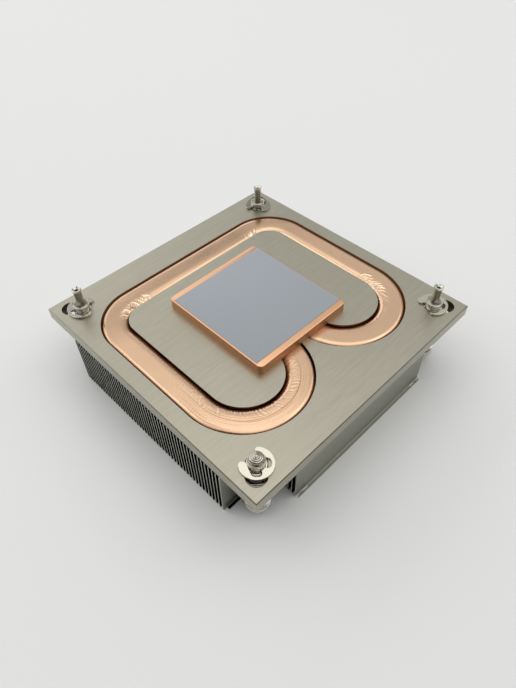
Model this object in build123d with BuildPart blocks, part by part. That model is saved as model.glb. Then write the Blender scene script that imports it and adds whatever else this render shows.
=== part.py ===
from build123d import *
from math import cos, pi, radians, sin, sqrt, tan
import os

os.makedirs("parts", exist_ok=True)

# Passive heat sink for a server processor, lying with its contact side up.
# Millimetres. X runs across the fins, Y along them, and Z = 0 is the surface
# that the fins' free edges rest on. The origin is the middle of that footprint.

# Mounting slots: each runs from one standard square of holes to a larger one
inner_hole_pitch = 75.0
hole_pitch_step = 5.0
slot_clearance = 0.4
slot_edge_wall = 2.2

# Base plate
plate_thick = 4.0
plate_edge_break = 0.25

# Folded sheet fins, side by side in one stack
fin_sheet = 0.3
fin_pitch = 1.36
fin_height = 18.0
fin_stack_inset = 1.4
fold_gap = 0.05
fins_per_pack = 4
screw_room_across = 5.0
screw_room_along = 8.9

# Flattened heat pipe, placed by its insets from the plate's edges
pipe_width = 8.0
pipe_thick = 2.5
pipe_side_inset = 4.95
pipe_back_inset = 10.6
pipe_front_inset = 10.0
pipe_corner_bend = 11.1
pipe_tail_gap = 2.1
pipe_tail_inset = 5.0
groove_clearance = 0.15

# Contact plate and thermal pad
contact_length = 39.0
contact_width = 36.0
contact_thick = 3.0
contact_corner = 1.5
contact_edge_break = 0.3
pad_inset = 0.5
pad_thick = 0.15

# Spring screws
shoulder_diameter = 4.8
clip_groove_depth = 0.4
collar_height = 0.75
cone_height = 1.3
thread_diameter = 3.0
thread_length = 6.6
broken_thread_length = 1.2
head_thick = 2.0
head_recess = 2.4
cross_length = 4.4
cross_width = 0.9
cross_depth = 1.2

# E-clips
clip_diameter = 9.0
clip_thick = 0.6
clip_band = 1.15
clip_tooth_width = 1.7
clip_tooth_angle = 66.0
clip_mouth_half_angle = 44.0
clip_running_gap = 0.05

# Coil springs
spring_wire = 0.8
spring_bore_gap = 0.55
spring_turns = 7
spring_end_turns = 1
steps_per_turn = 8
wire_sides = 5
seat_gap = 0.05

# Levels, from the fins' free edges up
plate_under = fin_height
plate_top = plate_under + plate_thick
contact_top = plate_top + contact_thick
clip_under = plate_top + seat_gap
clip_top = clip_under + clip_thick
collar_under = clip_top + seat_gap
collar_top = collar_under + collar_height
thread_under = collar_top + cone_height
head_top = head_recess + head_thick

# Sizes that follow from the others
outer_hole_pitch = inner_hole_pitch + hole_pitch_step
slot_width = shoulder_diameter + 2 * slot_clearance
plate_side = outer_hole_pitch + slot_width + 2 * slot_edge_wall
spring_diameter = shoulder_diameter + 2 * (spring_bore_gap + spring_wire)
head_diameter = spring_diameter

# Corners as seen in the photograph: X sign, Y sign, where the clip's mouth points,
# and how much thread is left. The front screw is broken off short.
corners = {
    "front": (1, -1, 187.0, broken_thread_length),
    "right": (1, 1, 257.0, thread_length),
    "back": (-1, 1, 298.0, thread_length),
    "left": (-1, -1, 51.0, thread_length),
}

# Centre line of the heat pipe: two tails side by side under the contact plate, a
# round lobe beyond each, and one run round the back that joins them
tail_y = (pipe_width + pipe_tail_gap) / 2
tail_end_x = -contact_length / 2 + pipe_tail_inset
side_y = plate_side / 2 - pipe_side_inset - pipe_width / 2
back_x = -plate_side / 2 + pipe_back_inset + pipe_width / 2
lobe_bend = (side_y - tail_y) / 2
lobe_x = plate_side / 2 - pipe_front_inset - pipe_width / 2 - lobe_bend
lobe_y = tail_y + lobe_bend
corner_x = back_x + pipe_corner_bend
corner_y = side_y - pipe_corner_bend

with BuildLine() as pipe_route:
    Line((tail_end_x, tail_y), (lobe_x, tail_y))
    CenterArc((lobe_x, lobe_y), lobe_bend, -90, 180)
    Line((lobe_x, side_y), (corner_x, side_y))
    CenterArc((corner_x, corner_y), pipe_corner_bend, 90, 90)
    Line((back_x, corner_y), (back_x, -corner_y))
    CenterArc((corner_x, -corner_y), pipe_corner_bend, 180, 90)
    Line((corner_x, -side_y), (lobe_x, -side_y))
    CenterArc((lobe_x, -lobe_y), lobe_bend, -90, 180)
    Line((lobe_x, -tail_y), (tail_end_x, -tail_y))

# Base plate: milled, with a groove for the pipe and a diagonal slot at each corner
with BuildPart() as base_plate:
    with BuildSketch(Plane.XY.offset(plate_under)):
        Rectangle(plate_side, plate_side)
    extrude(amount=plate_thick)
    chamfer(base_plate.edges().filter_by(Axis.Z, reverse=True), plate_edge_break)
    with BuildSketch(Plane.XY.offset(plate_under)):
        slot_middle = (inner_hole_pitch + outer_hole_pitch) / 4
        slot_travel = hole_pitch_step / 2 * sqrt(2)
        for sign_x, sign_y, mouth, thread in corners.values():
            with Locations((sign_x * slot_middle, sign_y * slot_middle)):
                SlotCenterToCenter(slot_travel, slot_width, rotation=45 * sign_x * sign_y)
    extrude(amount=plate_thick, mode=Mode.SUBTRACT)
    with BuildSketch(Plane.XY.offset(plate_top)):
        with BuildLine():
            add(pipe_route.line)
            offset(amount=pipe_width / 2 + groove_clearance, side=Side.BOTH)
        make_face()
    extrude(amount=-pipe_thick, mode=Mode.SUBTRACT)
base_plate.part.label = "base_plate"
export_step(base_plate.part, "parts/base_plate.step")

# Heat pipe: a round tube pressed flat and laid flush in its groove. Its sides stay
# round on the real pipe, and here two chamfers and a flat follow that round.
pipe_side_chamfer = pipe_thick / 2 * (1 - tan(radians(22.5)))
with BuildPart() as heat_pipe:
    with BuildSketch(Plane.XY.offset(plate_top - pipe_thick)):
        trace(pipe_route.line, line_width=pipe_width)
    extrude(amount=pipe_thick)
    chamfer(heat_pipe.edges().filter_by(Axis.Z, reverse=True), pipe_side_chamfer)
heat_pipe.part.label = "heat_pipe"
export_step(heat_pipe.part, "parts/heat_pipe.step")

# Contact plate: a copper block soldered over the pipe's tails
with BuildPart() as contact_plate:
    with BuildSketch(Plane.XY.offset(plate_top)):
        RectangleRounded(contact_length, contact_width, contact_corner)
    extrude(amount=contact_thick)
    chamfer(contact_plate.edges().group_by(Axis.Z)[-1], contact_edge_break)
contact_plate.part.label = "contact_plate"
export_step(contact_plate.part, "parts/contact_plate.step")

# Thermal pad: a thin square of soft interface material
pad_side = contact_width - 2 * pad_inset
with BuildPart() as thermal_pad:
    with BuildSketch(Plane.XY.offset(contact_top)):
        Rectangle(pad_side, pad_side)
    extrude(amount=pad_thick)
thermal_pad.part.label = "thermal_pad"
export_step(thermal_pad.part, "parts/thermal_pad.step")

# Fins: each is a sheet folded to a C, and its two folds reach to the next fin. Those
# beside the screws are cut short at both ends.
fin_count = int((plate_side - 2 * fin_stack_inset) / fin_pitch)
short_fin_length = inner_hole_pitch - 2 * screw_room_along
fold_reach = fin_pitch - fold_gap


def fin_x(index):
    """Middle of a fin's sheet."""
    return (index - (fin_count - 1) / 2) * fin_pitch


def fin_length(index):
    """Length of a fin along Y."""
    beside_screw = abs(fin_x(index)) + fin_sheet / 2 > inner_hole_pitch / 2 - screw_room_across
    return short_fin_length if beside_screw else plate_side


def fold_length(index):
    """A fold is no longer than the fin that it reaches to."""
    next_index = min(index + 1, fin_count - 1)
    return min(fin_length(index), fin_length(next_index))


for first in range(0, fin_count, fins_per_pack):
    last = min(first + fins_per_pack, fin_count)
    with BuildPart() as fin_pack:
        for index in range(first, last):
            sheet_left = fin_x(index) - fin_sheet / 2
            with BuildSketch(Plane.XZ):
                with Locations((sheet_left, 0)):
                    Rectangle(fin_sheet, fin_height, align=Align.MIN)
            extrude(amount=fin_length(index) / 2, both=True)
            with BuildSketch(Plane.XZ):
                with Locations((sheet_left, 0), (sheet_left, fin_height - fin_sheet)):
                    Rectangle(fold_reach, fin_sheet, align=Align.MIN)
            extrude(amount=fold_length(index) / 2, both=True)
    fin_pack.part.label = f"fins_{first + 1:02d}_to_{last:02d}"
    export_step(fin_pack.part, f"parts/{fin_pack.part.label}.step")

# Screws: turned pins with the head below the plate, a groove for the clip just above
# it, and a threaded end that points up
shoulder_radius = shoulder_diameter / 2
clip_groove_radius = shoulder_radius - clip_groove_depth
thread_radius = thread_diameter / 2

for corner, (sign_x, sign_y, mouth, thread) in corners.items():
    screw_x = sign_x * inner_hole_pitch / 2
    screw_y = sign_y * inner_hole_pitch / 2
    with BuildPart() as screw:
        with BuildSketch(Plane((screw_x, screw_y, 0), x_dir=(1, 0, 0), z_dir=(0, -1, 0))):
            with BuildLine():
                Polyline(
                    (0, head_recess),
                    (head_diameter / 2, head_recess),
                    (head_diameter / 2, head_top),
                    (shoulder_radius, head_top),
                    (shoulder_radius, plate_top),
                    (clip_groove_radius, plate_top),
                    (clip_groove_radius, collar_under),
                    (shoulder_radius, collar_under),
                    (shoulder_radius, collar_top),
                    (thread_radius, thread_under),
                    (thread_radius, thread_under + thread),
                    (0, thread_under + thread),
                    close=True,
                )
            make_face()
        revolve(axis=Axis((screw_x, screw_y, 0), (0, 0, 1)))
        with BuildSketch(Plane((screw_x, screw_y, head_recess))):
            Rectangle(cross_length, cross_width)
            Rectangle(cross_width, cross_length)
        extrude(amount=cross_depth, mode=Mode.SUBTRACT)
    screw.part.label = f"screw_{corner}"
    export_step(screw.part, f"parts/{screw.part.label}.step")

# E-clips: a flat ring with an open mouth, whose three teeth sit in the screw's groove
clip_radius = clip_diameter / 2
tooth_tip_radius = clip_groove_radius + clip_running_gap
tooth_length = clip_radius - clip_band / 2 - tooth_tip_radius
mouth_x = clip_diameter * cos(radians(clip_mouth_half_angle))
mouth_y = clip_diameter * sin(radians(clip_mouth_half_angle))

for corner, (sign_x, sign_y, mouth, thread) in corners.items():
    screw_x = sign_x * inner_hole_pitch / 2
    screw_y = sign_y * inner_hole_pitch / 2
    mouth_direction = (cos(radians(mouth)), sin(radians(mouth)), 0)
    with BuildPart() as clip:
        with BuildSketch(Plane((screw_x, screw_y, clip_under), x_dir=mouth_direction)):
            Circle(clip_radius)
            Circle(clip_radius - clip_band, mode=Mode.SUBTRACT)
            for angle in (-clip_tooth_angle, clip_tooth_angle, 180):
                with PolarLocations(tooth_tip_radius, 1, start_angle=angle):
                    Rectangle(tooth_length, clip_tooth_width, align=(Align.MIN, Align.CENTER))
            with BuildLine():
                Polyline((0, 0), (mouth_x, mouth_y), (mouth_x, -mouth_y), close=True)
            make_face(mode=Mode.SUBTRACT)
        extrude(amount=clip_thick)
    clip.part.label = f"e_clip_{corner}"
    export_step(clip.part, f"parts/{clip.part.label}.step")

# Coil springs: round each screw, from its head up to the plate. The end turns are
# closed, so they sit flat.
coil_radius = (spring_diameter - spring_wire) / 2
first_turn_z = head_top + seat_gap + spring_wire / 2
last_turn_z = plate_under - seat_gap - spring_wire / 2
open_turns = spring_turns - 2 * spring_end_turns
open_rise = (last_turn_z - first_turn_z - 2 * spring_end_turns * spring_wire) / open_turns


def coil_z(turn):
    """Height of the wire's middle after a number of turns."""
    opened = min(max(turn - spring_end_turns, 0), open_turns)
    return first_turn_z + (turn - opened) * spring_wire + opened * open_rise


for corner, (sign_x, sign_y, mouth, thread) in corners.items():
    screw_x = sign_x * inner_hole_pitch / 2
    screw_y = sign_y * inner_hole_pitch / 2
    with BuildPart() as spring:
        with BuildLine() as coil:
            turns = [step / steps_per_turn for step in range(spring_turns * steps_per_turn + 1)]
            Polyline(
                *[
                    (
                        screw_x + coil_radius * cos(2 * pi * turn),
                        screw_y + coil_radius * sin(2 * pi * turn),
                        coil_z(turn),
                    )
                    for turn in turns
                ]
            )
        with BuildSketch(Plane(coil.wire() @ 0, z_dir=coil.wire() % 0)):
            RegularPolygon(spring_wire / 2, wire_sides)
        sweep(transition=Transition.RIGHT)
    spring.part.label = f"spring_{corner}"
    export_step(spring.part, f"parts/{spring.part.label}.step")
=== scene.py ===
# %% [markdown]
# A passive heat sink for a server processor lies contact side up on a pale floor. Its
# solids are already built at their real size, and this lesson dresses them. Each step
# says what the real piece is, how it could be made, and why this way was chosen. The
# pieces are shaped in millimetres and turned into metres when they are finished.

# %% Load the frame
from math import atan2, cos, degrees, exp, pi, radians, sin

import bmesh
import bpy
from mathutils import Matrix, Vector, noise


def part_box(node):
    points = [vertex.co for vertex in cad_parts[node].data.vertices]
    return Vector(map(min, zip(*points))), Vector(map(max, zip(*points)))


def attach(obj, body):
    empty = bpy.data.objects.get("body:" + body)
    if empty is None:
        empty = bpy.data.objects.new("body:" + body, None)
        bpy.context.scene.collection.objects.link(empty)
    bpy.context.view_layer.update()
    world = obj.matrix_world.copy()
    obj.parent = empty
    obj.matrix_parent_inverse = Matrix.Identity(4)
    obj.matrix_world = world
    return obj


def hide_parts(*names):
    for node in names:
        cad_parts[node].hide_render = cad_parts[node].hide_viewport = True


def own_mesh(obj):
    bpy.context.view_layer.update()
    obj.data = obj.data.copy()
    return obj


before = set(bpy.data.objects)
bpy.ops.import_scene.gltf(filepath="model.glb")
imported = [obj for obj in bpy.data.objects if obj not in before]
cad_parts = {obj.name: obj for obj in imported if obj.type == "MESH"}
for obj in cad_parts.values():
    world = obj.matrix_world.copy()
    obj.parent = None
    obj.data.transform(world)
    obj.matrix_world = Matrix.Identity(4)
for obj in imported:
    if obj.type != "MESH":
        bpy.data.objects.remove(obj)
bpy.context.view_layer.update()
mm = 0.001

# %% [markdown]
# The boxes of the solids give the levels and the places that the new pieces need, so
# nothing is fitted by eye: the plate's faces, the pipe's top, and each screw's axis.

# %% Read the levels and places
plate_low, plate_high = (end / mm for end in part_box("base_plate"))
contact_low, contact_high = (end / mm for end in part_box("contact_plate"))
pad_low, pad_high = (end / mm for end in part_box("thermal_pad"))
pipe_low, pipe_high = (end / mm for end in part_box("heat_pipe"))
corner_names = ("front", "right", "back", "left")


def screw_axis(corner):
    """Middle of a screw in plan, in millimetres."""
    low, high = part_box("screw_" + corner)
    return Vector(((low.x + high.x) / 2 / mm, (low.y + high.y) / 2 / mm, 0))


for corner in corner_names:
    print(corner, [round(value, 2) for value in screw_axis(corner)])
print("plate", plate_low.z, plate_high.z, "pipe", pipe_low.z, pipe_high.z)

# %% [markdown]
# The photograph looks down on the front corner from about 48 degrees, quite close, so
# the far edges shorten. The camera's place comes from the plate's four corners in the
# picture: a bearing, a height, a distance, a slight roll, and a focal length counted in
# picture heights.

# %% Camera
picture_height = 688
view_bearing = radians(45.912)
view_height = radians(48.201)
view_roll = radians(-1.036)
view_distance = 154.866 * mm
focal_in_heights = 544.345 / picture_height
aim = Vector((10.759, -10.390, plate_high.z)) * mm

level_right = Vector((cos(view_bearing), sin(view_bearing), 0))
towards_camera = Vector(
    (sin(view_bearing) * cos(view_height), -cos(view_bearing) * cos(view_height), sin(view_height))
)
level_up = towards_camera.cross(level_right)
camera_right = level_right * cos(view_roll) + level_up * sin(view_roll)
camera_up = level_up * cos(view_roll) - level_right * sin(view_roll)

camera = bpy.data.objects.new("camera", bpy.data.cameras.new("camera"))
bpy.context.scene.collection.objects.link(camera)
turn = Matrix((camera_right, camera_up, towards_camera)).transposed().to_4x4()
camera.matrix_world = Matrix.Translation(aim + towards_camera * view_distance) @ turn
camera.data.lens = focal_in_heights * camera.data.sensor_width
camera.data.clip_start = 1 * mm
bpy.context.scene.camera = camera
print("camera", [round(value / mm, 1) for value in camera.location])

# %% [markdown]
# The photograph was taken in a pale room lit from above and from the left. The room is
# dark on the photographer's side, so the floor in front is shaded. Wide lamps stand for
# five parts of the ceiling, four bright patches in it, and the two walls behind. Their
# strengths were found one lamp at a time, by weighing how bright each makes the floor,
# the plate, the copper and the sides. A dim white world fills what they leave.

# %% Light
world = bpy.data.worlds.new("room")
bpy.context.scene.world = world
world.use_nodes = True
room_light = world.node_tree.nodes["Background"].inputs
room_light["Color"].default_value = (0.97, 0.985, 1, 1)
room_light["Strength"].default_value = 0.12
ceiling_white = (1, 1, 0.98)
wall_white = (0.98, 0.99, 1)


def soft_lamp(name, place, size, radiance, colour, turn=(0, 0, 0)):
    """An area lamp whose face has a given brightness. It faces down until it is turned."""
    lamp = bpy.data.lights.new(name, "AREA")
    lamp.shape = "RECTANGLE"
    lamp.size, lamp.size_y = size
    lamp.energy = radiance * lamp.size * lamp.size_y * pi
    lamp.color = colour
    piece = bpy.data.objects.new(name, lamp)
    bpy.context.scene.collection.objects.link(piece)
    piece.location = place
    piece.rotation_euler = [radians(angle) for angle in turn]


soft_lamp("ceiling_back", (-0.51, 0.4, 1.0), (1.02, 0.8), 0.61, ceiling_white)
soft_lamp("ceiling_far", (-0.51, 1.12, 1.0), (1.02, 0.64), 0.54, ceiling_white)
soft_lamp("ceiling_left", (-1.2, 0.35, 1.0), (0.36, 0.7), 0.32, ceiling_white)
soft_lamp("ceiling_right", (0.5, 0.5, 1.0), (1.0, 2.0), 1.15, (1, 0.99, 0.96))
soft_lamp("ceiling_front", (-0.75, -0.75, 1.0), (1.5, 1.5), 0.78, ceiling_white)
soft_lamp("wide_panel", (-0.5, 0.25, 0.99), (1.0, 0.5), 0.18, (1, 0.99, 0.93))
soft_lamp("near_panel", (-0.25, 0.25, 0.98), (0.5, 0.5), 0.55, (1, 0.97, 0.93))
soft_lamp("front_window", (-0.6, -0.38, 0.97), (0.4, 0.3), 1.2, (1, 0.99, 0.94))
soft_lamp("right_window", (0.3, 0.52, 0.97), (0.4, 0.3), 0.8, (1, 0.98, 0.9))
soft_lamp("left_wall", (-1.7, 0, 0.7), (1.4, 3.4), 1.15, wall_white, (0, -90, 0))
soft_lamp("back_wall", (0, 1.7, 0.7), (3.4, 1.4), 0.3, wall_white, (-90, 0, 0))

# %% [markdown]
# Shader maths reads best as sums. A small class wraps a socket, so that an expression
# such as 1 - mask adds a Math node.


# %% Shader values
class Shade:
    """A shader value that Python's signs work on."""

    def __init__(self, finish, socket):
        self.finish = finish
        self.socket = socket

    def math(self, operation, first, second):
        """A Math node on two values."""
        sockets = {0: first, 1: second}
        return self.finish.node("ShaderNodeMath", {"operation": operation}, sockets)

    def __add__(self, other):
        return self.math("ADD", self, other)

    def __sub__(self, other):
        return self.math("SUBTRACT", self, other)

    def __rsub__(self, other):
        return self.math("SUBTRACT", other, self)

    def __mul__(self, other):
        return self.math("MULTIPLY", self, other)

    __radd__ = __add__
    __rmul__ = __mul__


print("a shade is:", Shade.__doc__)

# %% [markdown]
# A finish is a material on its way. One method makes every node from its type, its
# settings and its sockets, and short methods name the ones that are used most. Patterns
# read the object's own coordinates, turned into millimetres.


# %% Finishes
class Finish:
    """A material being made, with its place in millimetres."""

    def __init__(self, name):
        self.material = bpy.data.materials.new(name)
        self.material.use_nodes = True
        self.tree = self.material.node_tree
        self.surface = self.tree.nodes["Principled BSDF"]
        metres = self.node("ShaderNodeTexCoord", {}, {}, "Object")
        self.place = self.scaled(metres, 1 / mm)
        self.facing = self.node("ShaderNodeTexCoord", {}, {}, "Normal")

    def feed(self, socket, value):
        """Set a socket to a value, or link it."""
        if isinstance(value, Shade):
            self.tree.links.new(value.socket, socket)
        else:
            socket.default_value = value

    def apply(self, sockets):
        """Feed the surface's own sockets, which completes the finish."""
        for name, value in sockets.items():
            self.feed(self.surface.inputs[name], value)
        print(self.material.name, "nodes", len(self.tree.nodes))

    def node(self, kind, settings, sockets, output=0):
        """Add a node, set it up first, fill its sockets, and return one output."""
        made = self.tree.nodes.new(kind)
        for name, value in settings.items():
            setattr(made, name, value)
        for name, value in sockets.items():
            self.feed(made.inputs[name], value)
        return Shade(self, made.outputs[output])

    def part(self, vector, axis):
        """One coordinate of a vector."""
        return self.node("ShaderNodeSeparateXYZ", {}, {0: vector}, axis)

    def size(self, value):
        """A number without its sign."""
        return self.node("ShaderNodeMath", {"operation": "ABSOLUTE"}, {0: value})

    def scaled(self, vector, number):
        """A vector or a colour times a number."""
        sockets = {0: vector, "Scale": number}
        return self.node("ShaderNodeVectorMath", {"operation": "SCALE"}, sockets)

    def noise(self, stretch, detail=2.0, roughness=0.5, offset=(0, 0, 0)):
        """Noise from 0 to 1 with so many waves to the millimetre along X, Y and Z."""
        point = self.node(
            "ShaderNodeVectorMath",
            {"operation": "MULTIPLY_ADD"},
            {0: self.place, 1: stretch, 2: offset},
        )
        return self.noise_at(point, detail, roughness)

    def noise_at(self, point, detail, roughness):
        """Noise from 0 to 1 at a point."""
        sockets = {"Vector": point, "Scale": 1.0, "Detail": detail, "Roughness": roughness}
        return self.node("ShaderNodeTexNoise", {"noise_dimensions": "3D"}, sockets)

    def step(self, value, low, high):
        """A smooth step from 0 to 1."""
        settings = {"interpolation_type": "SMOOTHSTEP"}
        sockets = {"Value": value, "From Min": low, "From Max": high}
        return self.node("ShaderNodeMapRange", settings, sockets)

    def band(self, value, rise, fall):
        """1 between two smooth steps, each given as where it is 0 and where it is 1."""
        return self.step(value, *rise) * self.step(value, *fall)

    def mix(self, share, first, second):
        """A colour between two colours."""
        settings = {"data_type": "RGBA", "clamp_factor": True}
        return self.node("ShaderNodeMix", settings, {0: share, 6: first, 7: second}, 2)

    def bump(self, height, millimetres, base=None):
        """A normal bent by a height that counts in so many millimetres."""
        sockets = {"Strength": 1.0, "Distance": millimetres * mm, "Height": height}
        if base is not None:
            sockets["Normal"] = base
        return self.node("ShaderNodeBump", {}, sockets)


print("a finish is:", Finish.__doc__)

# %% [markdown]
# The plate is aluminium, plated a warm grey and brushed along Y. Brushing leaves fine
# scratches, long in one direction and close together in the other, so its noise is
# stretched the same way. The sides were cut by a saw and sanded, so their lines run
# along the edge instead. A mask from the facing direction keeps the two apart.

# %% Brushed plate grain
brushed = Finish("brushed_plate")
hair = brushed.noise((2.6, 0.14, 2.6), 4.0, 0.7)
streak = brushed.noise((1.1, 0.03, 1.1), 2.0, 0.5, (3, 7, 1))
patch = brushed.noise((0.04, 0.03, 0.04), 1.0, 0.5, (9, 2, 4))
side_line = brushed.noise((0.2, 0.2, 5.0), 3.0, 0.6)
flat_up = brushed.step(brushed.size(brushed.part(brushed.facing, "Z")), 0.8, 0.95)
grain = hair * flat_up + side_line * (1 - flat_up)
lightness = 0.74 + grain * 0.34 + streak * 0.12 + patch * 0.06
plate_grey = brushed.mix(patch, (0.445, 0.422, 0.345, 1), (0.455, 0.427, 0.35, 1))
lit_grey = brushed.scaled(plate_grey, lightness)
print("plate grain nodes", len(brushed.tree.nodes))

# %% [markdown]
# The walls of the pipe's groove get painted shade, a mottled dark brown with a painted
# reddish reflection of the copper in it. On the loop's outer wall it is a flat brown that
# is not metal, so it takes the light from above, and the slots' walls get a grey-brown
# painted shade. How far a wall is from the plate's middle tells which one it is, so the
# plate can stay the solid that it is.

# %% Groove and slot walls
slots_from = 33.0
sides_from = 44.0
loop_side = 31.0
loop_end = 36.5
loop_slant = 58.0
across_plate = brushed.size(brushed.part(brushed.place, "X"))
along_plate = brushed.size(brushed.part(brushed.place, "Y"))


def past_both(edge, blur):
    """1 past an edge both across and along, or inside it where the blur is negative."""
    past_across = brushed.step(across_plate, edge, edge + blur)
    return past_across * brushed.step(along_plate, edge, edge + blur)


in_slot = past_both(slots_from, 0.5)
wall = (1 - flat_up) * past_both(sides_from, -0.2)
# painted shade on the groove walls: a mottled dark brown with a painted reddish reflection of the
# copper
groove_mottle = brushed.step(brushed.noise((0.09, 0.09, 0.0), 1.0, 0.5, (5, 3, 0)), 0.42, 0.58)
groove_painted_shade = brushed.mix(groove_mottle, (0.17, 0.07, 0.035, 1), (0.26, 0.16, 0.08, 1))
past_side = brushed.step(across_plate, loop_side, loop_side + 1)
past_end = brushed.step(along_plate, loop_end, loop_end + 1)
past_slant = brushed.step(across_plate + along_plate, loop_slant, loop_slant + 4)
# painted shade on the loop's outer wall: a flat brown that is not metal
painted_outer_wall = (past_side + past_end + past_slant) * (1 - in_slot) * wall
loop_painted_shade = brushed.mix(painted_outer_wall, groove_painted_shade, (0.27, 0.12, 0.042, 1))
# painted shade on the slots' walls: a darker grey-brown
wall_painted_shade = brushed.mix(in_slot, loop_painted_shade, (0.26, 0.21, 0.16, 1))
brushed.apply({
    "Base Color": brushed.mix(wall, lit_grey, wall_painted_shade),
    "Metallic": brushed.step(painted_outer_wall, 1, 0),
    "Roughness": 0.30 + grain * 0.16,
    "Normal": brushed.bump(grain, 0.012),
})


def dress(node, finish):
    """Give a CAD node a finish."""
    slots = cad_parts[node].data.materials
    slots.clear()
    slots.append(finish.material)


dress("base_plate", brushed)

# %% [markdown]
# Each new piece is a bmesh shaped in millimetres. One helper closes it up: seams are
# merged, faces are turned outwards, it is scaled to metres, smoothed up to an angle,
# and set on the body that carries it. An open sheet keeps its flat faces as they are.

# %% Finish a piece
seam_gap = 0.0005


def make_piece(name, bm, body, finish, sharp_angle=35, closed=True):
    """Turn a bmesh in millimetres into an object that rides on a body."""
    bmesh.ops.remove_doubles(bm, verts=bm.verts, dist=seam_gap)
    if closed:
        bmesh.ops.recalc_face_normals(bm, faces=bm.faces)
    bmesh.ops.scale(bm, vec=(mm, mm, mm), verts=bm.verts)
    mesh = bpy.data.meshes.new(name)
    bm.to_mesh(mesh)
    bm.free()
    if closed:
        mesh.set_sharp_from_angle(angle=radians(sharp_angle))
    mesh.polygons.foreach_set("use_smooth", [closed] * len(mesh.polygons))
    mesh.materials.append(finish.material)
    piece = bpy.data.objects.new(name, mesh)
    bpy.context.scene.collection.objects.link(piece)
    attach(piece, body)
    print(name, "faces", len(mesh.polygons))
    return piece


print("points closer than", seam_gap, "mm are merged")

# %% [markdown]
# The pipe and the fins are drawn out from a section, row by row. An extrusion gives the
# new points and edges together, so small helpers pick out what the next row needs. Each
# part is drawn in a bmesh of its own and then added to the whole, because a bmesh gets
# slower as it grows.


# %% Draw out and join
def new_verts(made):
    """The vertices of a step's result."""
    return [item for item in made if isinstance(item, bmesh.types.BMVert)]


def new_edges(made):
    """The edges of a step's result."""
    return [item for item in made if isinstance(item, bmesh.types.BMEdge)]


def draw_out(bm, row, move):
    """Extrude a row of edges. Gives the new row's points and its edges."""
    made = bmesh.ops.extrude_edge_only(bm, edges=row)["geom"]
    points = new_verts(made)
    bmesh.ops.translate(bm, vec=move, verts=points)
    return points, [edge for edge in new_edges(made) if all(end in points for end in edge.verts)]


def add_to(whole, part):
    """Add one bmesh to another, and free it."""
    held = bpy.data.meshes.new("held")
    part.to_mesh(held)
    part.free()
    whole.from_mesh(held)
    bpy.data.meshes.remove(held)


print("helpers", [helper.__name__ for helper in (new_verts, new_edges, draw_out, add_to)])

# %% [markdown]
# The heat pipe was a round tube. It was bent into a loop and pressed flat into its
# groove, so its sides are still round and its top is nearly flat. A ring of points is
# pressed into that section: a third of the ring becomes the two round sides, and the
# rest lies flat. Its flat is a little wider towards the outside of the bends.

# %% Pressed section of the pipe
pipe_thick = 2.5
pipe_half = 4.11
pipe_flat_inner = 2.45
pipe_flat_outer = 2.68
ring_points = 44
side_angle = 30
pipe_middle_z = pipe_high.z - pipe_thick / 2


def press_point(angle):
    """Where a point of the round tube goes when the tube is pressed flat."""
    turned = (degrees(angle) + 180) % 360 - 180
    above = 1 if turned >= 0 else -1
    flat = abs(turned)
    side, flat_half = (1, pipe_flat_outer) if flat < 90 else (-1, pipe_flat_inner)
    if side_angle < flat < 180 - side_angle:
        return flat_half * (90 - flat) / (90 - side_angle), above * pipe_thick / 2
    round_angle = radians(90 / side_angle * (flat if side > 0 else 180 - flat))
    outward = side * (flat_half + (pipe_half - flat_half) * cos(round_angle))
    return outward, above * pipe_thick / 2 * sin(round_angle)


def pressed_ring(bm, middle, heading, travelled):
    """A ring across the pipe, whose points know their places along and across it."""
    along = bm.verts.layers.float.new("along")
    across = bm.verts.layers.float.new("across")
    bmesh.ops.create_circle(bm, segments=ring_points, radius=1)
    outer_side = Vector((heading.y, -heading.x, 0))
    for point in bm.verts:
        outward, height = press_point(atan2(point.co.y, point.co.x))
        point[along], point[across] = travelled, outward
        point.co = middle + outer_side * outward + Vector((0, 0, height))
    return list(bm.edges)


print("pressed pipe", 2 * pipe_half, "by", pipe_thick, "mm")

# %% [markdown]
# The ring is drawn along the route in steps of a third of a millimetre. Drawing it step
# by step lets each ring remember how far along the pipe it is, and the finish needs
# that. Each run and bend is drawn on its own, and then they are joined.

# %% Draw the pipe along its route
pipe_step = 0.32
route = [
    ("run", (-14.5, 5.05), (15.5, 5.05)),
    ("bend", (15.5, 20.55), 180),
    ("run", (15.5, 36.05), (-19.3, 36.05)),
    ("bend", (-19.3, 24.95), 90),
    ("run", (-30.4, 24.95), (-30.4, -24.95)),
    ("bend", (-19.3, -24.95), 90),
    ("run", (-19.3, -36.05), (15.5, -36.05)),
    ("bend", (15.5, -20.55), 180),
    ("run", (15.5, -5.05), (-14.5, -5.05)),
]


def draw_stretch(whole, stretch, start, heading, travelled):
    """One run between two points, or one bend round a centre by an angle."""
    kind, first, second = stretch
    bm = bmesh.new()
    ring = pressed_ring(bm, start, heading, travelled)
    along = bm.verts.layers.float["along"]
    move, swing = Vector(), Matrix.Identity(3)
    if kind == "run":
        length = (Vector(second) - Vector(first)).length
        steps = round(length / pipe_step)
        move = heading * length / steps
    else:
        length = (start.xy - Vector(first)).length * radians(second)
        steps = round(length / pipe_step)
        swing = Matrix.Rotation(radians(second) / steps, 3, "Z")
    for _ in range(steps):
        points, ring = draw_out(bm, ring, move)
        if kind == "bend":
            bmesh.ops.rotate(bm, cent=(*first, 0), matrix=swing, verts=points)
            start = swing @ (start - Vector((*first, 0))) + Vector((*first, 0))
        start, heading = start + move, swing @ heading
        travelled += length / steps
        for point in points:
            point[along] = travelled
    add_to(whole, bm)
    return start, heading, travelled


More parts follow.
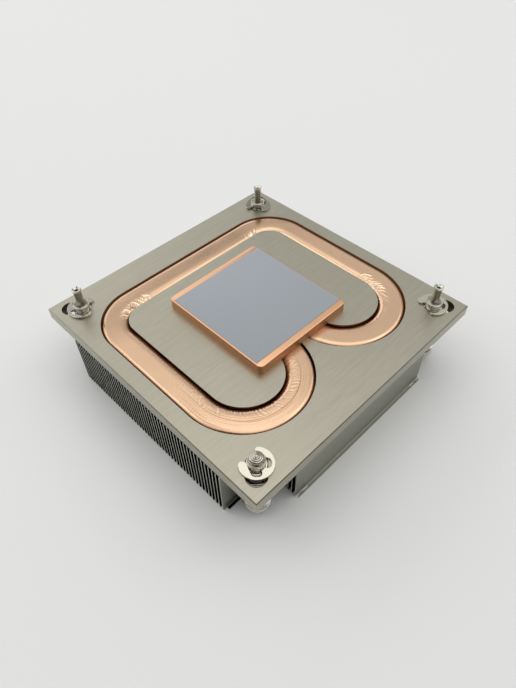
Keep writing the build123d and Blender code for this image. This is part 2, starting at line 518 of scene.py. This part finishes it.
pipe = bmesh.new()
place = Vector((*route[0][1], pipe_middle_z))
heading = Vector((1, 0, 0))
pipe_length = 0.0
for stretch in route:
    place, heading, pipe_length = draw_stretch(pipe, stretch, place, heading, pipe_length)
bmesh.ops.remove_doubles(pipe, verts=pipe.verts, dist=2 * seam_gap)
bmesh.ops.holes_fill(pipe, edges=[edge for edge in pipe.edges if edge.is_boundary], sides=0)
print("pipe length", round(pipe_length, 1), "points", len(pipe.verts))

# %% [markdown]
# Bending crowds the copper on the inside of each curve, and pressing it flat folds the
# crowded metal into small creases. Each crease field is a stretch of the pipe with its
# own spacing, depth, slant and reach across. Inside it, each fold is a smooth ridge, and
# noise shifts the folds and makes some of them stronger than others.

# %% Crease fields
# Each field: start and end along the pipe, spacing, depth, slant, and reach across.
crease_fields = [
    (52.0, 64.0, 1.3, 0.12, 1.0, -1.2),
    (63.0, 82.0, 1.7, 0.36, 1.0, -0.6),
    (115.0, 128.0, 1.0, 0.12, 0.0, -2.7),
    (127.6, 135.0, 2.9, 0.55, 0.9, -1.5),
    (174.5, 191.5, 1.8, 0.43, -0.7, -1.3),
    (222.0, 278.0, 1.0, 0.15, -0.6, -0.6),
]
field_fade = 2.5
field_blur = 0.9
fold_drift = 1.2
fold_width = 0.19
fold_level = 0.35


def smooth_share(value, low, high):
    """0 below low, 1 above high, and smooth between."""
    share = min(max((value - low) / (high - low), 0), 1)
    return share * share * (3 - 2 * share)


def crease(distance, outward):
    """Height of the creases at a point of the pipe."""
    height = 0.0
    for start, end, spacing, depth, slant, reach in crease_fields:
        if not start < distance < end:
            continue
        held = smooth_share(distance, start, start + field_fade)
        held *= smooth_share(-distance, -end, field_fade - end)
        inside = 1 - smooth_share(outward, reach - field_blur, reach + field_blur)
        drift = noise.noise(Vector((distance * 0.3, outward * 0.35, spacing)))
        phase = (distance + slant * outward) / spacing + fold_drift * drift
        strength = 0.75 + noise.noise(Vector((phase // 1 * 1.7, 3.1, spacing * 5)))
        fold = exp(-(((phase % 1 - 0.5) / fold_width) ** 2))
        height += depth * held * inside * max(strength, 0.2) * (fold - fold_level)
    return height


print("deepest fold", max(depth for _, _, _, depth, _, _ in crease_fields), "mm")

# %% [markdown]
# The points are pushed up and down by the creases, so these are real shapes that catch
# the light, and each point keeps how far it was raised, for the finish. The inside of
# the curves also sank a little as it was pressed, and a low dome and a slow wobble keep
# the top from looking machined.

# %% Crease and wobble the pipe
sunk_from = 1.2
sunk_share = 0.07
dome_fall = 0.035
top_gap = 0.03
wobble_height = 0.035

bmesh.ops.recalc_face_normals(pipe, faces=pipe.faces)
pipe.normal_update()
along = pipe.verts.layers.float["along"]
across = pipe.verts.layers.float["across"]
crest = pipe.verts.layers.float.new("crest")
moves = []
for point in pipe.verts:
    upper = smooth_share(point.co.z - pipe_middle_z, 0.1, 0.6)
    spread = point[across] / pipe_flat_inner
    tall = max((point.co.z - pipe_middle_z) / (pipe_thick / 2), 0)
    sunk = max(-point[across] - sunk_from, 0)
    point.co.z -= sunk_share * sunk * sunk * tall
    dome = -dome_fall * spread * spread - top_gap
    wobble = noise.noise(Vector((point[along] * 0.16, point[across] * 0.3, 0.5)))
    lifted = Vector((0, 0, (dome + wobble_height * wobble) * upper))
    raised = crease(point[along], point[across])
    point[crest] = max(raised, 0)
    moves.append(point.normal * raised * upper + lifted)
for point, move in zip(pipe.verts, moves):
    point.co += move
print("highest pipe point", round(max(point.co.z for point in pipe.verts), 3))

# %% [markdown]
# Copper mirrors the room in a pink orange, and its sheen is never even: handling leaves
# faint cloudy stains, bending leaves a fine orange-peel grain, and the press drags long
# scratches along the pipe. The scratches follow every bend, so their noise reads the
# distance along and across that the points carry.

# %% Pipe patterns
copper = Finish("pipe_copper")
pipe_along, pipe_across, pipe_crest = (
    copper.node("ShaderNodeAttribute", {"attribute_name": name}, {}, "Fac")
    for name in ("along", "across", "crest")
)
on_pipe = copper.node(
    "ShaderNodeCombineXYZ", {}, {"X": pipe_along * 0.05, "Y": pipe_across * 2.4, "Z": 0.0}
)
drawn = copper.noise_at(on_pipe, 3.0, 0.6)
cloud = copper.noise((0.09, 0.09, 0.09), 2.0, 0.5)
orange_peel = copper.noise((2.6, 2.6, 2.6), 2.0, 0.6)
print("pipe pattern nodes", len(copper.tree.nodes))

# %% [markdown]
# Each mark has its own stretch of the pipe. The scratches are on the front lobe, with
# one dark seam along its middle and a coarser grain where it begins. The run between
# the back and left corners is darker, both ends are rougher by the contact plate and get
# a painted shade there, and flux has left one brown spot on the far corner.

# %% Marks on the pipe
on_lobe = copper.band(pipe_along, (220, 240), (284, 262))
speckled = copper.band(pipe_along, (216, 224), (246, 234))
# darker along the run between the back and left corners
darker_run = copper.band(pipe_along, (124, 138), (204, 190))
scratch = copper.step(drawn, 0.56, 0.64) * on_lobe * copper.step(pipe_across, -1.8, -0.4)
seam_place = copper.size(pipe_across + drawn * 0.5 - 0.25)
seam = copper.step(seam_place, 0.22, 0.08) * on_lobe
stain_place = (-30.5, 31.3, pipe_high.z)
stain_gap = copper.node(
    "ShaderNodeVectorMath", {"operation": "DISTANCE"}, {0: copper.place, 1: stain_place}, "Value"
)
stain = copper.step(stain_gap, 0.9, 0.1)
contact_edge = contact_high.x
# by the contact plate's edge, where the pipe's tails get a painted shade
soldered = copper.step(copper.part(copper.place, "X"), contact_edge + 2.4, contact_edge - 0.2)
on_tails = copper.step(pipe_along, 50, 45) + copper.step(pipe_along, 262, 267)
at_tail = soldered * on_tails
print("pipe nodes with the marks", len(copper.tree.nodes))

# %% [markdown]
# The colours are laid over each other: fresh copper, the darker run, a painted highlight
# on the crests, the scratches, the spot and the painted shade at the ends. The sides down
# in the groove come last, also as painted shade: the outer one is painted brown, the steep
# faces a little darker, and the inner one near black, as almost no light reaches it.

# %% Pipe copper
fresh = copper.mix(cloud, (0.78, 0.52, 0.35, 1), (0.83, 0.56, 0.375, 1))
clean = copper.scaled(fresh, 1 - darker_run * 0.22)
# painted highlight on the raised crests of the creases
crest_painted_highlight = copper.mix(copper.step(pipe_crest, 0.02, 0.12), clean, (0.99, 0.78, 0.58, 1))
scratched = copper.mix(scratch * 0.5 + seam * 0.6, crest_painted_highlight, (0.42, 0.22, 0.12, 1))
spotted = copper.mix(stain * 0.3, scratched, (0.16, 0.08, 0.04, 1))
# painted shade on the tails by the contact plate
tail_painted_shade = copper.mix(at_tail * 0.6, spotted, (0.40, 0.24, 0.15, 1))
steep = copper.step(copper.part(copper.facing, "Z"), 0.6, 0.35)
inner_side = copper.step(pipe_across, -3.5, -4.0)
outer_side = copper.step(pipe_across, 3.15, 3.7)
# painted shade on the pipe's outer side, in brown
outer_side_painted_shade = copper.mix(outer_side * 0.75, tail_painted_shade, (0.36, 0.165, 0.07, 1))
# painted shade: the inner side near black, the steep faces a little darker
sides_painted_shade = copper.mix(steep * 0.15 + inner_side * 0.8, outer_side_painted_shade, (0.11, 0.025, 0.012, 1))
drawn_normal = copper.bump(drawn * (0.4 + on_lobe), 0.025)
copper.apply({
    "Base Color": sides_painted_shade,
    "Metallic": 1.0,
    "Roughness": 0.15 + cloud * 0.08 + orange_peel * 0.07 + at_tail * 0.3,
    "Normal": copper.bump(orange_peel * (1 + speckled * 4), 0.007, drawn_normal),
})
heat_pipe = make_piece("pressed_heat_pipe", pipe, "root", copper, 60)
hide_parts("heat_pipe")

# %% [markdown]
# The contact plate is a block of copper sawn from bar, with its edges broken by a file,
# and soldered over the pipe's two tails. A cube is scaled to its size, its standing
# corners are rounded, and then the rim of its upper face gets a small bevel.

# %% Shape the contact plate
near = 0.01
contact_corner = 1.5
filed_edge = 0.35


def block(low, high):
    """A box between two corners."""
    bm = bmesh.new()
    bmesh.ops.create_cube(bm, size=1)
    bmesh.ops.scale(bm, vec=high - low, verts=bm.verts)
    bmesh.ops.translate(bm, vec=(low + high) / 2, verts=bm.verts)
    return bm


def soften(bm, edges, width, segments):
    """Round some edges off."""
    bmesh.ops.bevel(
        bm, geom=edges, offset=width, offset_type="OFFSET", segments=segments, profile=0.5,
        affect="EDGES", material=-1, clamp_overlap=True,
    )


def standing_edges(bm):
    """The edges that stand upright."""
    ends = [(edge, *edge.verts) for edge in bm.edges]
    return [edge for edge, first, second in ends if abs(first.co.z - second.co.z) > near]


def rim_edges(bm, level):
    """The edges round the upper face, at a level."""
    return [edge for edge in bm.edges if all(end.co.z > level - near for end in edge.verts)]


contact = block(contact_low, contact_high)
soften(contact, standing_edges(contact), contact_corner, 6)
soften(contact, rim_edges(contact, contact_high.z), filed_edge, 3)
print("contact plate", [round(length, 2) for length in contact_high - contact_low])

# %% [markdown]
# The saw left lines along the bar's sides, which are also darker and browner than the
# top and less shiny. The top has a soft, cloudy sheen.

# %% Contact copper
bar = Finish("contact_copper")
bar_cloud = bar.noise((0.12, 0.12, 0.12), 2.0, 0.5)
saw_line = bar.noise((0.25, 0.25, 6.0), 2.0, 0.6)
bar_side = bar.step(bar.part(bar.facing, "Z"), 0.7, 0.3)
bar_tone = bar.mix(bar_cloud, (0.83, 0.47, 0.275, 1), (0.88, 0.52, 0.32, 1))
bar.apply({
    "Base Color": bar.mix(bar_side * (0.5 + saw_line * 0.4), bar_tone, (0.56, 0.28, 0.14, 1)),
    "Metallic": 1.0,
    "Roughness": 0.24 + bar_cloud * 0.08 + saw_line * 0.08 + bar_side * 0.16,
    "Normal": bar.bump(saw_line * bar_side, 0.03),
})
contact_plate = make_piece("sawn_contact_plate", contact, "root", bar)
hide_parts("contact_plate")

# %% [markdown]
# The pad is a soft sheet of interface material, matt and slightly lilac, with a fine
# grain and a few specks of dust pressed into it. It is a thin block whose upper edges
# are softened, because a die cuts it and the sheet gives a little.

# %% Thermal pad
pad_edge = 0.05
pad = block(pad_low, pad_high)
soften(pad, rim_edges(pad, pad_high.z), pad_edge, 2)

paste = Finish("pad_grey")
paste_grain = paste.noise((1.6, 1.6, 1.6), 3.0, 0.6)
paste_cloud = paste.noise((0.05, 0.05, 0.05), 1.0, 0.5)
dust_gap = paste.node(
    "ShaderNodeTexVoronoi",
    {"feature": "F1", "voronoi_dimensions": "3D"},
    {"Vector": paste.place, "Scale": 0.22, "Randomness": 1.0},
    "Distance",
)
dust = paste.step(dust_gap, 0.045, 0.02)
paste_tone = paste.mix(paste_cloud, (0.378, 0.405, 0.448, 1), (0.388, 0.415, 0.454, 1))
paste_lit = paste.scaled(paste_tone, 0.96 + paste_grain * 0.08)
paste.apply({
    "Base Color": paste.mix(dust * 0.6, paste_lit, (0.05, 0.05, 0.06, 1)),
    "Roughness": 0.5 + paste_grain * 0.1,
    "Specular IOR Level": 0.35,
    "Normal": paste.bump(paste_grain, 0.01),
})
pad_piece = make_piece("soft_thermal_pad", pad, "root", paste)
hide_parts("thermal_pad")

# %% [markdown]
# The fins are rolled aluminium, with faint lines along the roll. Only their outer faces,
# their folds and their cut ends show metal, and the cut ends are the brightest. Hardly
# any light comes back out from between the fins, so their inner walls are nearly black
# and don't shine. Masks of place and facing tell these faces apart.

# %% Fin alloy
fin_sheet = 0.3
fin_pitch = 1.36
fin_count = 64
last_fin_x = (fin_count - 1) / 2 * fin_pitch

alloy = Finish("fin_alloy")
roll_line = alloy.noise((0.3, 0.12, 2.4), 3.0, 0.55)
alloy_cloud = alloy.noise((0.1, 0.06, 0.1), 2.0, 0.5)
from_middle = alloy.size(alloy.part(alloy.place, "X"))
outer_face = alloy.step(from_middle, last_fin_x - 0.5, last_fin_x - 0.3)
notch_face = alloy.band(from_middle, (31.5, 31.7), (32.5, 32.3))
fold_face = alloy.step(alloy.part(alloy.facing, "Z"), -0.5, -0.7)
cut_face = alloy.step(alloy.size(alloy.part(alloy.facing, "Y")), 0.6, 0.8)
inner_wall = (1 - outer_face) * (1 - notch_face) * (1 - fold_face) * (1 - cut_face)
fin_tone = alloy.mix(alloy_cloud, (0.33, 0.33, 0.285, 1), (0.37, 0.365, 0.315, 1))
cut_tone = alloy.mix(cut_face, fin_tone, (0.62, 0.61, 0.55, 1))
deep_tone = alloy.mix(inner_wall, cut_tone, (0.008, 0.008, 0.007, 1))
alloy.apply({
    "Base Color": alloy.scaled(deep_tone, 0.9 + roll_line * 0.2),
    "Metallic": 1 - inner_wall,
    "Roughness": 0.36 + roll_line * 0.14,
    "Specular IOR Level": 0.0,
    "Normal": alloy.bump(roll_line, 0.02),
})

# %% [markdown]
# The fins are thin sheets folded to a C, each hooked to the next. A few vertices give
# the folded section of one sheet, with its bends rounded, and it is extruded along Y in
# spans, which end where a slot or a fold does.

# %% Fold one fin
fin_height = 18.0
fold_reach = 1.16
fold_inset = 1.2
bend_radius = 0.3
bend_middle = (0.09, 0.24)
slot_near = 24.0
slot_far = 26.0


def fold_sheet(bm, x, half_length, slot_reach):
    """Fold one sheet, with a line where its slots end."""
    middle = fin_sheet / 2
    top = fin_height - middle
    lower_half = [(fold_reach, middle), (slot_reach, middle), (bend_radius, middle), bend_middle]
    outline = [(reach, fin_height - z) for reach, z in lower_half]
    outline += [(0, top - bend_radius), (0, middle + bend_radius)]
    outline += list(reversed(lower_half))
    half_spans = [slot_near, slot_far, half_length - fold_inset, half_length]
    spans = [-end for end in reversed(half_spans)] + half_spans
    points = [bm.verts.new((x + reach, spans[0], z)) for reach, z in outline]
    row = [bm.edges.new(pair) for pair in zip(points, points[1:])]
    for start, end in zip(spans, spans[1:]):
        points, row = draw_out(bm, row, (0, end - start, 0))


print("fin blank", round(fin_height + 2 * (fold_reach - fin_sheet / 2), 1), "mm high")

# %% [markdown]
# The folds stop a little short of the sheet's ends, and near each end a slot is open at
# the bend, where the next sheet's hook goes through. Both are made by taking faces away.
# The last sheet has no neighbour, so its hooks stand free, as small upright tabs.

# %% Slots and hooks
fold_root = 0.2
hook_spans = [(24.2, 25.8), (26.6, 28.2)]
hook_reach = 1.01
hook_height = 0.55


def add_hooks(bm, x):
    """The free hooks of the last fin, which stand up where its neighbour would be."""
    for span in hook_spans:
        for side in (-1, 1):
            ends = [(x + hook_reach, side * end, fin_sheet / 2) for end in span]
            edge = bm.edges.new([bm.verts.new(end) for end in ends])
            draw_out(bm, [edge], (0, 0, hook_height))


def cut_away(bm, x, half_length, slot_reach):
    """The faces of one fin that its slots and its short folds take away."""
    gone = []
    for face in bm.faces:
        centre = face.calc_center_median()
        reach = centre.x - x
        if not near < reach < fold_reach:
            continue
        in_slot = slot_near < abs(centre.y) < slot_far and bend_radius < reach < slot_reach
        past_fold = abs(centre.y) > half_length - fold_inset and reach > fold_root
        if in_slot or past_fold:
            gone.append(face)
    return gone


print("slots from", slot_near, "to", slot_far, "hooks", hook_spans)

# %% [markdown]
# The 48 fins in the middle run the plate's full length, and 8 on each side are short and
# leave the notches for the screws. Four fins at a time make one piece, as in the solids,
# and Solidify gives the sheet its thickness, which keeps each fin to a few dozen faces.

# %% Stack the fins
full_half = 45.0
short_half = 28.6
short_from = 32.5
slot_reach_hooked = 0.62
slot_reach_last = 0.95


def new_fin(index):
    """One fin in its place, counted from the side with the lowest X."""
    bm = bmesh.new()
    x = (index - (fin_count - 1) / 2) * fin_pitch
    half_length = short_half if abs(x) + fin_sheet / 2 > short_from else full_half
    is_last = index == fin_count - 1
    slot_reach = slot_reach_last if is_last else slot_reach_hooked
    fold_sheet(bm, x, half_length, slot_reach)
    gone = cut_away(bm, x, half_length, slot_reach)
    bmesh.ops.delete(bm, geom=gone, context="FACES")
    if is_last:
        add_hooks(bm, x)
    bmesh.ops.recalc_face_normals(bm, faces=bm.faces)
    return bm


fin_total = 0
for node in sorted(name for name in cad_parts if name.startswith("fins_")):
    first, last = (int(word) for word in node.split("_") if word.isdigit())
    stack = bmesh.new()
    for index in range(first - 1, last):
        add_to(stack, new_fin(index))
    piece = make_piece(f"folded_{node}", stack, "root", alloy, closed=False)
    sheet = piece.modifiers.new("sheet", "SOLIDIFY")
    sheet.thickness = fin_sheet * mm
    sheet.offset = 0
    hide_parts(node)
    fin_total += last - first + 1
print("fins", fin_total)

# %% [markdown]
# Each screw is a pin turned on a lathe, so its tool marks are rings. The shank inside
# the spring is painted near black, as painted shade, and so is the centre mark in the
# tip. The neck is a dull olive, less so on the broken front screw, and the collar's rim
# and the tip are bright. Heights and the distance from a screw's own axis place these
# tones. The four axes lie evenly round the plate's middle, so one sum gives that distance
# for all of them.

# %% Screw metal
turned = Finish("screw_metal")
lathe_line = turned.noise((0.2, 0.2, 9.0), 2.0, 0.5)
turned_cloud = turned.noise((0.5, 0.5, 0.5), 2.0, 0.5)
pin_tone = turned.mix(turned_cloud, (0.60, 0.58, 0.51, 1), (0.68, 0.66, 0.59, 1))
pin_x, pin_y, pin_z = (turned.part(turned.place, axis) for axis in "XYZ")
off_x = turned.size(pin_x) - abs(screw_axis("front").x)
off_y = turned.size(pin_y) - abs(screw_axis("front").y)
off_axis = turned.node("ShaderNodeCombineXYZ", {}, {"X": off_x, "Y": off_y})
pin_radius = turned.node(
    "ShaderNodeVectorMath", {"operation": "LENGTH"}, {"Vector": off_axis}, "Value"
)
# painted shade: the shank inside the spring is painted near black
shank_painted_shade = turned.band(pin_z, (4.5, 5.5), (20.5, 19.0))
# painted shade in the centre mark of the tip
mark_painted_shade = turned.step(pin_z, 29.0, 29.1) * turned.step(pin_radius, 0.62, 0.45)
# the neck is a dull olive, less so on the front screw
neck_olive = turned.band(pin_z, (23.3, 23.5), (29.2, 29.0)) * turned.step(pin_radius, 2.12, 2.0)
at_front = turned.step(pin_x, 20, 30) * turned.step(pin_y, -20, -30)
pin_lit = turned.scaled(pin_tone, 0.92 + lathe_line * 0.16)
pin_olive = turned.mix(neck_olive * (1 - at_front * 0.35), pin_lit, (0.38, 0.36, 0.29, 1))
turned.apply({
    "Base Color": turned.mix(shank_painted_shade + mark_painted_shade, pin_olive, (0.045, 0.042, 0.038, 1)),
    "Metallic": 1.0,
    "Roughness": 0.12 + turned_cloud * 0.12 + neck_olive * (1 - at_front) * 0.12,
    "Normal": turned.bump(lathe_line, 0.004),
})

# %% [markdown]
# A pin's outline is drawn once and spun round its axis. The head is below, then the
# shank and the clip's groove. Above the groove come a collar with a dished top, a slim
# threaded neck, and a plain tip with a centre mark. The screw at the front is broken off
# just above its collar.

# %% Screw outlines
head_side = [
    (2.9, 2.4), (3.35, 2.45), (3.62, 2.62), (3.75, 2.95), (3.75, 4.2), (3.65, 4.35), (3.5, 4.4),
    (2.55, 4.4), (2.4, 4.5), (2.4, 20.8), (2.66, 20.95), (2.7, 21.1), (2.66, 21.25), (2.45, 21.35),
    (2.45, 21.5), (2.66, 21.6), (2.7, 21.75), (2.62, 21.9), (2.0, 21.95), (2.0, 22.7),
    (2.22, 22.7), (2.36, 22.8), (2.4, 22.95), (2.4, 23.25),
]
whole_end = [
    (2.34, 23.35), (2.2, 23.4), (2.2, 23.46), (2.4, 23.52), (2.46, 23.65), (2.46, 23.95),
    (2.4, 24.08), (2.3, 24.12), (2.2, 24.04), (2.14, 23.86), (1.98, 23.84), (1.72, 24.0),
    (1.46, 24.36), (1.3, 24.85), (1.18, 25.4), (1.12, 25.8), (1.12, 29.15), (1.18, 29.24),
    (1.34, 29.28), (1.44, 29.38), (1.47, 29.55), (1.46, 29.8), (1.4, 29.94), (1.26, 30.0),
    (1.12, 29.96), (0.98, 29.82), (0.72, 29.6), (0.42, 29.36), (0.2, 29.22), (0, 29.2),
]
broken_end = [
    (2.34, 23.4), (2.24, 23.45), (2.12, 23.4), (2.04, 23.35), (1.98, 23.5), (1.95, 24.4),
    (1.9, 24.66), (1.76, 24.9), (1.56, 25.04), (1.38, 25.08), (1.32, 25.16), (1.12, 25.28),
    (0.92, 25.32), (0.86, 25.4), (0.66, 25.5), (0.5, 25.56), (0.42, 25.66), (0.2, 25.72),
    (0, 25.72),
]
pin_steps = 40


def spin_round(bm, geom, steps, turns=1, rise=0, merge=False):
    """Spin points and edges round the Z axis, with a rise in each turn."""
    return bmesh.ops.spin(
        bm, geom=geom, cent=(0, 0, 0), axis=(0, 0, 1), dvec=(0, 0, rise / steps),
        angle=2 * pi * turns, steps=steps * turns, use_merge=merge, use_normal_flip=False,
        use_duplicate=False,
    )["geom_last"]


def spin_outline(bm, outline):
    """A pin from its outline, given as radii and heights."""
    points = [bm.verts.new((radius, 0, z)) for radius, z in outline]
    edges = [bm.edges.new(pair) for pair in zip(points, points[1:])]
    spin_round(bm, points + edges, pin_steps, merge=True)


print("outline points", len(head_side), len(whole_end), len(broken_end))

# %% [markdown]
# The cross in the head starts as a small grid. Its lines are moved to the cross's arms,
# the cells of the cross are pushed up into the head and drawn in a little, and the
# grid's square rim is bridged to the head's round rim, which has as many points.

# %% Cross recess
arm_half = 0.45
arm_reach = 2.2
grid_half = 2.55
cross_depth = 1.2
cross_taper = 0.86
half_lines = [arm_half, 1.05, 1.6, arm_reach, grid_half]
cross_lines = [-line for line in reversed(half_lines)] + [0] + half_lines


def at_rim(point, radius, z):
    """Whether a point lies on a round rim."""
    return abs(point.co.xy.length - radius) < near and abs(point.co.z - z) < near


def add_cross(bm, rim_radius, z):
    """A recessed cross inside a round rim that faces down."""
    cells = len(cross_lines) - 1
    before = set(bm.faces)
    grid = bmesh.ops.create_grid(bm, x_segments=cells, y_segments=cells, size=cells / 2)["verts"]
    for point in grid:
        column, row = round(point.co.x + cells / 2), round(point.co.y + cells / 2)
        point.co = Vector((cross_lines[column], cross_lines[row], z))
    faces = [face for face in bm.faces if face not in before]
    arms = []
    for face in faces:
        centre = face.calc_center_median()
        narrow, long = sorted((abs(centre.x), abs(centre.y)))
        if narrow < arm_half and long < arm_reach:
            arms.append(face)
    square = [edge for face in faces for edge in face.edges if edge.is_boundary]
    raised = bmesh.ops.extrude_face_region(bm, geom=arms)["geom"]
    bmesh.ops.delete(bm, geom=arms, context="FACES_ONLY")
    floor_points = new_verts(raised)
    bmesh.ops.translate(bm, vec=(0, 0, cross_depth), verts=floor_points)
    bmesh.ops.scale(bm, vec=(cross_taper, cross_taper, 1), verts=floor_points)
    on_rim = [
        edge for edge in bm.edges
        if edge.is_boundary and all(at_rim(end, rim_radius, z) for end in edge.verts)
    ]
    bmesh.ops.bridge_loops(bm, edges=list(set(square)) + on_rim)


print("cross lines", cross_lines)

# %% [markdown]
# The thread is a ridge with a three-sided section, wound round the neck as a helix. Its
# foot is sunk in the neck, so that no gap shows, and both its ends are closed. The
# broken screw has lost its thread.

# %% Thread and screws
neck_radius = 1.12
thread_sunk = 0.06
thread_depth = 0.08
thread_pitch = 0.5
thread_low = 26.0
thread_turns = 5
thread_steps = 24


def cap(bm, rims):
    """Close open rims with a face each."""
    for rim in rims:
        bmesh.ops.holes_fill(bm, edges=rim, sides=0)


def add_thread(bm):
    """The thread's ridge, closed at both ends."""
    foot = neck_radius - thread_sunk
    ridge = [(foot, 0), (neck_radius + thread_depth, 0.42), (foot, 0.84)]
    points = [bm.verts.new((reach, 0, thread_low + thread_pitch * up)) for reach, up in ridge]
    edges = [bm.edges.new(pair) for pair in zip(points, points[1:] + points[:1])]
    wound = spin_round(bm, points + edges, thread_steps, thread_turns, thread_pitch)
    cap(bm, (edges, new_edges(wound)))


for corner in corner_names:
    pin = bmesh.new()
    broken = corner == "front"
    spin_outline(pin, head_side + (broken_end if broken else whole_end))
    add_cross(pin, *head_side[0])
    if not broken:
        add_thread(pin)
    bmesh.ops.translate(pin, vec=screw_axis(corner), verts=pin.verts)
    piece = make_piece(f"turned_screw_{corner}", pin, f"{corner}_screw", turned)
    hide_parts(f"screw_{corner}")

# %% [markdown]
# The clips are stamped from spring steel and tumbled, so their flat faces shine like
# mirrors and their edges are slightly round. Tumbling leaves tiny dents all over, which
# a fine noise gives in the colour, the sheen and the bump.

# %% Clip steel
stamped = Finish("clip_steel")
tumble = stamped.noise((1.5, 1.5, 1.5), 3.0, 0.6)
stamped.apply({
    "Base Color": stamped.mix(tumble, (0.59, 0.57, 0.49, 1), (0.65, 0.63, 0.545, 1)),
    "Metallic": 1.0,
    "Roughness": 0.11 + tumble * 0.06,
    "Normal": stamped.bump(tumble, 0.002),
})

# %% [markdown]
# Half of the stamped outline is listed as radii and angles from the clip's mouth, with
# its broad rounded prong, the thin band and half of the middle tooth. It is mirrored,
# filled with one face, raised to its thickness, and the edges of its two flat faces are
# rounded. Each mouth points its own way, and two clips sit off centre by their slack.

# %% E-clips
outer_edge = [(4.5, angle) for angle in range(180, 59, -10)]
prong_end = [
    (4.46, 53), (4.36, 48), (4.15, 43), (3.85, 39.5), (3.45, 38), (3.0, 39), (2.6, 43), (2.3, 49),
]
inner_edge = [
    (2.1, 57), (2.15, 66), (2.3, 77), (2.48, 88), (2.62, 97), (2.8, 104), (3.08, 110),
    (3.4, 116), (3.6, 123), (3.68, 132), (3.7, 144), (3.62, 151), (3.42, 156.5), (3.0, 161),
    (2.5, 163.5), (2.2, 165.5), (2.08, 169), (2.06, 175), (2.06, 180),
]
mouth_turn = {"front": 180, "right": 252, "back": 298, "left": 51}
slack = {"front": Vector((0.14, -0.14, 0)), "right": Vector((-0.22, 0.05, 0))}
tumbled_edge = 0.09
clip_sharp_angle = 20


def new_clip(corner):
    """One clip, stamped from its outline and raised to its thickness."""
    low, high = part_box(f"e_clip_{corner}")
    half = outer_edge + prong_end + inner_edge
    whole = half + [(reach, -angle) for reach, angle in reversed(half)][1:-1]
    bm = bmesh.new()
    for reach, angle in whole:
        turn = radians(mouth_turn[corner] + angle)
        bm.verts.new((reach * cos(turn), reach * sin(turn), 0))
    stamped_face = bm.faces.new(list(bm.verts))
    raised = bmesh.ops.extrude_face_region(bm, geom=[stamped_face])["geom"]
    bmesh.ops.translate(bm, vec=(0, 0, (high.z - low.z) / mm), verts=new_verts(raised))
    level = [face for face in bm.faces if len(face.verts) == len(whole)]
    soften(bm, list({edge for face in level for edge in face.edges}), tumbled_edge, 2)
    place = screw_axis(corner) + slack.get(corner, Vector())
    bmesh.ops.translate(bm, vec=place + Vector((0, 0, low.z / mm)), verts=bm.verts)
    return bm


for corner in corner_names:
    name, body = f"stamped_clip_{corner}", f"{corner}_clip"
    piece = make_piece(name, new_clip(corner), body, stamped, clip_sharp_angle)
    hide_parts(f"e_clip_{corner}")

# %% [markdown]
# The springs are bright drawn wire with a soft cloudy sheen. The top turns, close under
# the plate, are painted darker, as painted shade, so the colour changes with height.

# %% Spring wire
wire = Finish("spring_wire")
wire_cloud = wire.noise((0.8, 0.8, 0.8), 2.0, 0.5)
wire_tone = wire.mix(wire_cloud, (0.88, 0.86, 0.79, 1), (0.97, 0.95, 0.88, 1))
# painted shade on the top turns under the plate
top_turns_painted_shade = wire.step(wire.part(wire.place, "Z"), 15.5, 16.8)
wire.apply({
    "Base Color": wire.mix(top_turns_painted_shade, wire_tone, (0.60, 0.57, 0.50, 1)),
    "Metallic": 1.0,
    "Roughness": 0.12 + wire_cloud * 0.12,
})

# %% [markdown]
# A spring is a round wire wound on a mandrel. A small circle is spun round the screw's
# axis while it climbs, in three stretches: a closed turn that sits on the head, the
# open turns, and a closed turn under the plate. Seven turns of real round wire replace
# the solid's coarser one. It shortens as its screw is pressed in, so it is squashed
# towards the plate.

# %% Springs
wire_radius = 0.4
wire_sides = 10
coil_radius = 3.35
coil_bottom = 4.85
coil_top = 17.55
coil_steps = 28
open_turns = 5
closed_rise = 2 * wire_radius


def wind_spring():
    """A spring on the Z axis, wound in three stretches and capped."""
    bm = bmesh.new()
    ring = bmesh.ops.create_circle(
        bm, segments=wire_sides, radius=wire_radius, matrix=Matrix.Rotation(radians(90), 4, "X")
    )["verts"]
    bmesh.ops.translate(bm, vec=(coil_radius, 0, coil_bottom), verts=ring)
    start = list(bm.edges)
    geom = list(bm.verts) + start
    open_rise = (coil_top - coil_bottom - 2 * closed_rise) / open_turns
    for turns, rise in ((1, closed_rise), (open_turns, open_rise), (1, closed_rise)):
        geom = spin_round(bm, geom, coil_steps, turns, rise)
    cap(bm, (start, new_edges(geom)))
    return bm


for corner in corner_names:
    spring = wind_spring()
    axis_place = screw_axis(corner)
    bmesh.ops.translate(spring, vec=axis_place, verts=spring.verts)
    piece = make_piece(f"wound_spring_{corner}", spring, f"{corner}_spring", wire)
    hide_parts(f"spring_{corner}")
    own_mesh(piece)

# %% [markdown]
# The object lies on a plain pale floor, which also fills the picture's background. Only
# the floor's colour makes it pale, so the light on the object stays at a plain level.

# %% Floor
floor_half = 2.0
floor_mesh = bpy.data.meshes.new("floor")
floor_bm = bmesh.new()
bmesh.ops.create_grid(floor_bm, x_segments=1, y_segments=1, size=floor_half)
floor_bm.to_mesh(floor_mesh)
floor_bm.free()
floor = bpy.data.objects.new("floor", floor_mesh)
bpy.context.scene.collection.objects.link(floor)
paper = Finish("floor_paper")
paper.apply({
    "Base Color": (0.905, 0.915, 0.915, 1),
    "Roughness": 0.8,
    "Specular IOR Level": 0.2,
})
floor_mesh.materials.append(paper.material)

# %% [markdown]
# The view transform is set to Standard, so that colours render as they are written.

# %% View transform
bpy.context.scene.view_settings.view_transform = "Standard"
